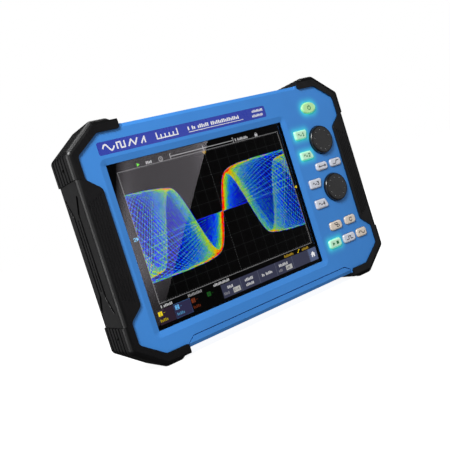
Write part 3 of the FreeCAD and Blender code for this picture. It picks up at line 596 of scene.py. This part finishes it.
def make_status(light):
    """Lines of status above and below the graticule, and the level arrows beside it."""
    m = Marks("screen_status", SCREEN, GLASS_HI.y + 5 * LAYER)
    grey, white = (0.30, 0.30, 0.30), (0.55, 0.55, 0.55)
    yellow, cyan, green = (0.95, 0.68, 0.0), (0.20, 0.62, 0.95), (0.18, 0.90, 0.05)
    amber = (0.40, 0.25, 0.02)
    top = GRID_V + ROWS * DIV / 2
    bar, high = top + 2.1, 2.2
    m.poly([(-58.5, bar - 1.4), (-56.2, bar), (-58.5, bar + 1.4)], green)
    m.words(-50.9, bar - 1.2, high, [6.0], white)
    m.arc(-37.8, bar, 1.7, 0, 360, 0.35, white)
    m.line([(-37.8, bar + 0.9), (-37.8, bar), (-37.0, bar - 0.5)], 0.3, white)
    for inner, outer in ((-28.2, -29.2), (31.2, 32.2)):
        m.line([(inner, bar - 2.0), (outer, bar - 2.0), (outer, bar + 2.0), (inner, bar + 2.0)],
               0.4, white)
    m.line([(-28.6, bar), (31.5, bar)], 0.4, white)
    m.line([(GRID_U, bar - 1.6), (GRID_U, bar + 1.8)], 0.4, white)
    m.words(34.0, bar - 1.2, high, [2.0, 11.0], white)
    m.rect(55.0, bar - 1.6, 57.8, bar + 0.6, white)
    m.arc(56.4, bar + 0.6, 0.9, 0, 180, 0.35, white)
    # Trigger position, level arrows
    m.poly([(GRID_U - 1.6, top - 0.3), (GRID_U + 1.6, top - 0.3), (GRID_U + 1.6, top - 1.6),
            (GRID_U, top - 3.0), (GRID_U - 1.6, top - 1.6)], amber)
    left, right = GRID_U - COLS * DIV / 2, GRID_U + COLS * DIV / 2
    m.poly([(left - 1.6, GRID_V - 1.5), (left + 1.2, GRID_V), (left - 1.6, GRID_V + 1.5)], cyan)
    m.digit(2, left - 2.9, GRID_V, 2.4, 0.4, cyan)
    m.poly([(right + 2.9, GRID_V - 1.4), (right + 0.4, GRID_V), (right + 2.9, GRID_V + 1.4)], yellow)
    # Readings below the graticule
    low = GRID_V - ROWS * DIV / 2 - 3.6
    for u, lengths, tint in ((left + 0.4, [1.3, 8.0], white), (left + 24.5, [14.0], grey),
                             (left + 48.5, [16.0], white), (right - 32.5, [11.0], amber),
                             (right - 12.4, [9.0], amber)):
        m.words(u, low, 2.1, lengths, tint)
    m.line([(right - 18.0, low), (right - 16.8, low), (right - 16.0, low + 2.2),
            (right - 14.8, low + 2.2)], 0.45, yellow)
    m.build(light, "root", "display")


def draw_house(m, u, eaves, tint):
    """The home sign: a roof on two walls, joined over the doorway."""
    m.poly([(u - 2.6, eaves), (u, eaves + 2.4), (u + 2.6, eaves)], tint)
    m.rect(u - 1.8, eaves - 2.4, u - 0.5, eaves, tint)
    m.rect(u + 0.5, eaves - 2.4, u + 1.8, eaves, tint)
    m.rect(u - 0.5, eaves - 1.0, u + 0.5, eaves, tint)


def make_menu(light):
    """Channel boxes and soft menu along the bottom of the screen."""
    low, high = -60.4, -49.3
    y = GLASS_HI.y + 4 * LAYER
    panels = Marks("screen_menu_panels", SCREEN, y)
    marks = Marks("screen_menu_marks", SCREEN, y - 2 * LAYER)
    slate, line, white = (0.045, 0.048, 0.085), (0.10, 0.11, 0.16), (0.62, 0.62, 0.62)
    grey, bright = (0.22, 0.22, 0.25), (0.95, 0.95, 0.95)
    left = -79.8
    panels.rect(left, low, left + 14.0, high, (0.028, 0.016, 0.030))
    panels.rect(left + 14.2, low, left + 29.2, high, (0.030, 0.028, 0.075))
    for u0, v0, u1, v1 in ((14.2, low, 29.2, low + 0.3), (14.2, high - 0.3, 29.2, high),
                           (14.2, low, 14.5, high), (28.9, low, 29.2, high)):
        panels.rect(left + u0, v0, left + u1, v1, (0.05, 0.16, 0.36))
    tints = [(0.95, 0.72, 0.0), (0.16, 0.52, 0.95), (0.20, 0.035, 0.01), (0.01, 0.10, 0.012)]
    for i, tint in enumerate(tints):
        u = left + 0.6 + 14.7 * i
        marks.rect(u, high - 4.6, u + 3.4, high - 1.2, tint)
        marks.digit(i + 1, u + 1.7, high - 2.9, 2.4, 0.5, (0.02, 0.02, 0.02))
        dim = tuple(c * (0.45 if i < 2 else 0.6) for c in tint)
        if i < 3:
            marks.words(u + 0.2, low + 2.0, 2.2, [7.0], dim)
        marks.line([(u + 4.4, high - 2.9), (u + 5.6, high - 2.9)], 0.35, dim)
    edges = [-21.3, -2.4, 16.2, 35.0, 53.9, 72.4]
    for u0, u1 in zip(edges, edges[1:]):
        panels.rect(u0, low, u1 - 0.4, high, slate)
        panels.rect(u1 - 0.4, low, u1, high, line)
    home = 72.6
    panels.rect(home, low, home + 9.2, high, (0.10, 0.13, 0.24))
    # Captions: blocks for words, and a light box where one of two choices is set
    upper, lower = high - 4.9, low + 2.2
    for u, v, height, lengths, tint in (
            (edges[0] + 5.6, upper, 2.3, [7.0], white), (edges[0] + 1.0, lower, 2.2, [6.4], grey),
            (edges[1] + 4.2, upper, 2.3, [9.6], white), (edges[1] + 4.2, lower, 2.2, [9.0], white),
            (edges[2] + 3.0, low + 4.4, 2.3, [3.0, 7.4], white),
            (edges[3] + 3.4, upper, 2.3, [11.0], white), (edges[3] + 2.0, lower, 2.2, [4.6], grey)):
        marks.words(u, v, height, lengths, tint)
    for u, wide, length in ((edges[0] + 10.2, 7.0, 5.4), (edges[3] + 10.0, 6.8, 5.2)):
        marks.rect(u, low + 1.4, u + wide, low + 5.4, (0.50, 0.50, 0.47))
        marks.words(u + 0.8, low + 2.3, 2.1, [length], (0.10, 0.10, 0.12))
    draw_house(marks, home + 4.6, -54.6, bright)
    panels.build(light, "root", "display")
    marks.build(light, "root", "display")


# ---------------------------------------------------------------- marks on the case and keys

def make_strip_marks(ink):
    """Generic white marks on the strip: wave symbols, a scale, blocks and an underline."""
    lo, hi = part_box("name_strip")
    m = Marks("strip_marks", Vector((lo.x, 0, (lo.z + hi.z) / 2)), lo.y)
    white = (0.86, 0.86, 0.88)
    sine = [(4.0 + 9.0 * i / 24, 2.4 * math.sin(2 * math.pi * i / 24)) for i in range(25)]
    m.line(sine, 1.1, white)
    m.line([(15.5, -2.2), (15.5, 2.2), (18.6, 2.2), (18.6, -2.2), (21.7, -2.2), (21.7, 2.2)],
           1.1, white)
    m.line([(24.8, -2.2), (27.4, 2.2), (30.0, -2.2), (32.6, 2.2)], 1.1, white)
    m.line([(35.4, -2.2), (38.6, 2.2), (38.6, -2.2)], 1.1, white)
    for i in range(6):
        m.rect(48.6 + 3.7 * i, -2.6, 49.7 + 3.7 * i, 2.8 if i in (0, 5) else 0.8, white)
    m.rect(48.6, -2.6, 68.2, -1.7, white)
    m.words(77.5, -1.2, 2.9, [2.6, 5.0, 11.5, 30.0], white, gap=0.7)
    m.rect(77.5, -2.9, 132.0, -2.4, white)
    m.words(142.6, 0.9, 2.1, [12.5], white)
    m.words(141.6, -3.0, 2.1, [13.0], white)
    m.build(ink, "root", "indigo_strip", INK_THICK)


def make_legends(ink):
    """One symbol on each key, printed on its cap."""
    for node in LIT_KEYS + WHITE_KEYS + BEIGE_KEYS:
        tint = LIT_INK if node in LIT_KEYS else INK
        m = Marks("legend_" + node, centre(node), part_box(node)[0].y)
        draw_symbol(m, node, tint)
        m.build(ink, node, "lit_key" if node in LIT_KEYS else "white_key", INK_THICK)


def draw_symbol(m, node, tint):
    w = 0.65
    if node == "power_key":
        m.arc(0, 0, 1.7, 125, 415, w, tint)
        m.line([(0, 0.4), (0, 2.4)], w, tint)
    elif node.startswith("channel_"):
        number = int(node.split("_")[1])
        wave = [(-3.9 + 3.9 * i / 12, 1.0 * math.sin(2 * math.pi * i / 12)) for i in range(13)]
        m.line(wave, 0.55, tint)
        m.digit(number, 2.1, 0.0, 2.8, 0.65, tint)
    elif node == "horizontal_key":
        m.line([(-3.4, 0), (3.4, 0)], w, tint)
        for side in (-1, 1):
            m.poly([(4.6 * side, 0), (2.8 * side, 1.3), (2.8 * side, -1.3)], tint)
    elif node == "trigger_key":
        m.line([(-3.6, -1.3), (-0.6, -1.3), (0.6, 1.3), (3.6, 1.3)], w, tint)
    elif node == "copy_key":
        for u, v in ((-1.6, 0.6), (0.2, -1.6)):
            m.line([(u, v), (u + 3.0, v), (u + 3.0, v + 1.6), (u, v + 1.6), (u, v)], w * 0.8, tint)
    elif node == "default_key":
        m.arc(0, 0, 1.6, 60, 340, w, tint)
        m.poly([(1.9, 1.9), (0.1, 2.0), (1.3, 0.4)], tint)
    elif node == "run_stop_key":
        m.poly([(-3.6, -1.5), (-0.8, 0), (-3.6, 1.5)], tint)
        m.rect(0.9, -1.4, 3.6, 1.4, tint)
    elif node == "single_key":
        m.line([(-3.8, -1.3), (-1.3, -1.3), (-1.3, 1.3), (1.3, 1.3), (1.3, -1.3), (3.8, -1.3)],
               w, tint)
    elif node == "autoset_key":
        wave = [(-3.6 + 7.2 * i / 16, 1.4 * math.sin(2 * math.pi * i / 16)) for i in range(17)]
        m.line(wave, w, tint)


def make_rear_marks(ink):
    """Plate of plain bars on the battery door, and channel numbers under the input sockets."""
    lo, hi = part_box("battery_door")
    plate = Marks("rating_plate", Vector(((lo.x + hi.x) / 2, 0, lo.z + 0.0150)), hi.y, side=-1)
    silver, dark = (0.42, 0.43, 0.45), (0.03, 0.03, 0.035)
    plate.rect(-20.0, -7.5, 20.0, 7.5, silver)
    for v, height, lengths in ((3.4, 2.0, [14.0]), (0.2, 1.3, [9.0, 6.0]),
                               (-2.4, 1.3, [6.0, 10.0]), (-5.0, 1.3, [12.0, 4.0])):
        plate.words(-17.5, v, height, lengths, dark)
    for i in range(14):
        left = 3.5 + i
        plate.rect(left, -4.4, left + (0.35, 0.6, 0.25)[i % 3], 3.6, dark)
    plate.build(ink, "root", None, PLATE_THICK)
    rings_lo, rings_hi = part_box("channel_rings")
    pitch = (rings_hi.x - rings_lo.x - RING_D) / 4
    white = (0.80, 0.80, 0.82)
    numbers = Marks("channel_numbers", Vector((0, 0, 0.1665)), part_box("rear_shell")[1].y, side=-1)
    for number in range(1, 5):
        x = rings_hi.x - RING_D / 2 - (number - 1) * pitch
        numbers.digit(number, -x / MM, 0.0, 3.2, 0.6, white)
    numbers.arc(-(rings_lo.x + RING_D / 2) / MM, 0.0, 1.5, 0, 360, 0.5, white)
    numbers.build(ink, "root", None, INK_THICK)


def make_knob_dots():
    """Painted highlights: pale dots in the ring of dimples on each knob's face, for the glints the
    dimples catch.
    """
    # pale grey for the painted glints in the dimples
    paint = moulded("knob_painted_glint", (0.30, 0.30, 0.30), 0.4, spread=0.2).mat
    for side in ("upper", "lower"):
        lo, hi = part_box(side + "_knob")
        middle = (lo + hi) / 2
        bm = bmesh.new()
        for i in range(DIMPLES):
            turn = 2 * math.pi * (i + 0.5) / DIMPLES
            place = Vector((middle.x + DIMPLE_RING * math.cos(turn), lo.y + 0.00025,
                            middle.z + DIMPLE_RING * math.sin(turn)))
            made = bmesh.ops.create_uvsphere(bm, u_segments=10, v_segments=6, radius=0.00032)
            for v in made["verts"]:
                v.co = place + Vector((v.co.x, v.co.y * 0.5, v.co.z))
        mesh = bpy.data.meshes.new(side + "_knob_dots")
        bm.to_mesh(mesh)
        bm.free()
        mesh.materials.append(paint)
        ob = link_object(side + "_knob_dots", mesh)
        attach(ob, side + "_dial")


# ---------------------------------------------------------------- studio

def add_camera():
    """The photo's camera, turned about its own axis by ROLL."""
    heading, pitch, roll = (math.radians(a) for a in (HEADING, PITCH, ROLL))
    forward = Vector((math.sin(heading) * math.cos(pitch), math.cos(heading) * math.cos(pitch),
                      math.sin(pitch)))
    level = forward.cross(Vector((0, 0, 1))).normalized()
    upright = level.cross(forward)
    up = upright * math.cos(roll) + level * math.sin(roll)
    right = forward.cross(up)
    data = bpy.data.cameras.new("camera")
    data.lens = LENS
    data.sensor_width = 36
    data.clip_start, data.clip_end = 0.01, 60
    cam = link_object("camera", data)
    turn = Matrix((right, up, -forward)).transposed().to_4x4()
    cam.matrix_world = Matrix.Translation(AIM - forward * DISTANCE) @ turn
    bpy.context.scene.camera = cam
    return cam


def area_light(name, place, target, width, height, power, diffuse=True):
    data = bpy.data.lights.new(name, "AREA")
    data.shape = "RECTANGLE"
    data.size, data.size_y = width, height
    data.energy = power
    ob = link_object(name, data)
    aim = (Vector(target) - Vector(place)).to_track_quat("-Z", "Y")
    ob.matrix_world = Matrix.Translation(place) @ aim.to_matrix().to_4x4()
    ob.visible_diffuse = diffuse


def add_lights(eye):
    """Key from the upper left, rims along the rubber, and two lights that only put a sheen on it."""
    area_light("key", (-0.62, -0.55, 0.85), (-0.08, 0, 0.12), 0.4, 0.4, 13.0)
    area_light("left_rim", (-1.3, 0.25, 0.35), (-0.1, 0, 0.09), 0.35, 1.1, 5.0)
    area_light("top_rim", (0.1, 0.5, 1.2), (0, 0, 0.1), 1.0, 0.4, 5.0)
    area_light("left_side", (-1.05, 1.5, 0.25), (-0.13, 0, 0.09), 0.9, 1.2, 0.8)
    area_light("left_front", (-1.25, -0.8, 0.25), (-0.05, 0, 0.1), 0.5, 1.2, 1.6, diffuse=False)
    area_light("right_sheen", mirrored(150, 20, eye), (0.1, 0, 0.1), 0.45, 1.6, 1.1, diffuse=False)
    area_light("back_fill", (0.9, 1.1, 0.7), (0, 0, 0.1), 0.8, 0.8, 6.0)


def mirrored(u, v, eye):
    """Where a sight line reflected off the screen at (u, v) mm crosses the softbox's plane."""
    p = Vector((SCREEN.x + u * MM, GLASS_LO.y, SCREEN.z + v * MM))
    ray = p - eye
    run = (GLASS_LO.y - SOFTBOX_Y) / ray.y
    return Vector((p.x + ray.x * run, SOFTBOX_Y, p.z + ray.z * run))


def stage_sheet(name, corners, mat):
    """A four-cornered sheet of the set, which is not part of the object."""
    mesh = bpy.data.meshes.new(name)
    mesh.from_pydata(corners, [], [(0, 1, 2, 3)])
    mesh.materials.append(mat)
    ob = link_object(name, mesh)
    return ob


def add_softbox_reflection(eye):
    """A softbox panel seen in the glass: a sharp slanted right edge, fading out at the left."""
    s = Shader("softbox_cloth")
    at = s.axes()
    dark, below, full = (mirrored(u, v, eye) for u, v in ((-78.0, 63.0), (-89.0, 30.0), (-64.0, 63.0)))
    lean = (below.x - dark.x) / (below.z - dark.z)
    off = s.math("SUBTRACT", at["X"], s.math("MULTIPLY", at["Z"], lean))
    fade = s.ramp(off, dark.x - lean * dark.z, full.x - lean * full.z, smooth=True)
    bands = s.ramp(s.noise(3.0, 2.0, 0.5, stretch=(1.0, 1.0, 0.12)), 0.38, 0.62, 1.0, 3.1, smooth=True)
    low, high = (mirrored(-60, v, eye).z for v in (-48.0, -10.0))
    level = s.math("MULTIPLY", s.math("MULTIPLY", fade, bands),
                   s.ramp(at["Z"], low, high, 0.25, 1.0, smooth=True))
    s.set(Base_Color=(0, 0, 0, 1), Specular_IOR_Level=0.0, Emission_Color=(1.0, 0.93, 1.0, 1),
          Emission_Strength=level)
    corners = [mirrored(u, v, eye) for u, v in
               ((13.7, 72.0), (-72.0, 72.0), (-96.0, 0.0), (-96.0, -79.0))]
    ob = stage_sheet("softbox", corners, s.mat)
    ob.visible_camera = ob.visible_diffuse = ob.visible_shadow = False


def add_world():
    """White to the camera, soft fill on the object, and a dim room in its reflections."""
    world = bpy.data.worlds.new("studio")
    world.use_nodes = True
    bpy.context.scene.world = world
    tree = world.node_tree
    fill = tree.nodes["Background"]
    gloss, seen = (tree.nodes.new("ShaderNodeBackground") for _ in range(2))
    for node, strength in ((fill, WORLD_FILL), (gloss, WORLD_GLOSS), (seen, 1.0)):
        node.inputs["Color"].default_value = (1.0, 1.0, 1.0, 1)
        node.inputs["Strength"].default_value = strength
    path = tree.nodes.new("ShaderNodeLightPath")
    last = fill
    for kind, node in (("Is Glossy Ray", gloss), ("Is Camera Ray", seen)):
        choice = tree.nodes.new("ShaderNodeMixShader")
        tree.links.new(path.outputs[kind], choice.inputs[0])
        tree.links.new(last.outputs[0], choice.inputs[1])
        tree.links.new(node.outputs[0], choice.inputs[2])
        last = choice
    tree.links.new(last.outputs[0], tree.nodes["World Output"].inputs["Surface"])


def add_floor():
    """Plain pale floor, large enough to meet the white surround."""
    s = Shader("floor_white")
    s.set(Base_Color=(0.24, 0.24, 0.24, 1), Roughness=0.9, Specular_IOR_Level=0.0,
          Emission_Color=(1, 1, 1, 1), Emission_Strength=0.93)
    r = 12.0
    ob = stage_sheet("floor", [(-r, -r, 0), (r, -r, 0), (r, r, 0), (-r, r, 0)], s.mat)
    ob.visible_glossy = ob.visible_diffuse = False


# ---------------------------------------------------------------- build

def build():
    cam = add_camera()
    eye = cam.matrix_world.translation
    add_world()
    add_floor()
    add_lights(eye)
    add_softbox_reflection(eye)
    dress_nodes()
    soften([n for n in NODES if n.startswith("bumper_")], 0.0012, 3)
    soften([n for n in NODES if n.startswith("grip_")], 0.0006, 2)
    soften(["front_bezel", "rear_shell", "stand", "battery_door"], 0.0003, 2)
    soften(["port_cover"], 0.0008, 2)
    soften(["upper_knob", "lower_knob"], 0.0004, 3)
    ink = print_material()
    light = light_material("screen_light")
    make_trace()
    make_graticule(light)
    make_status(light)
    make_menu(light)
    make_strip_marks(ink)
    make_legends(ink)
    make_rear_marks(ink)
    make_knob_dots()


build()
bpy.context.scene.view_settings.view_transform = "Standard"
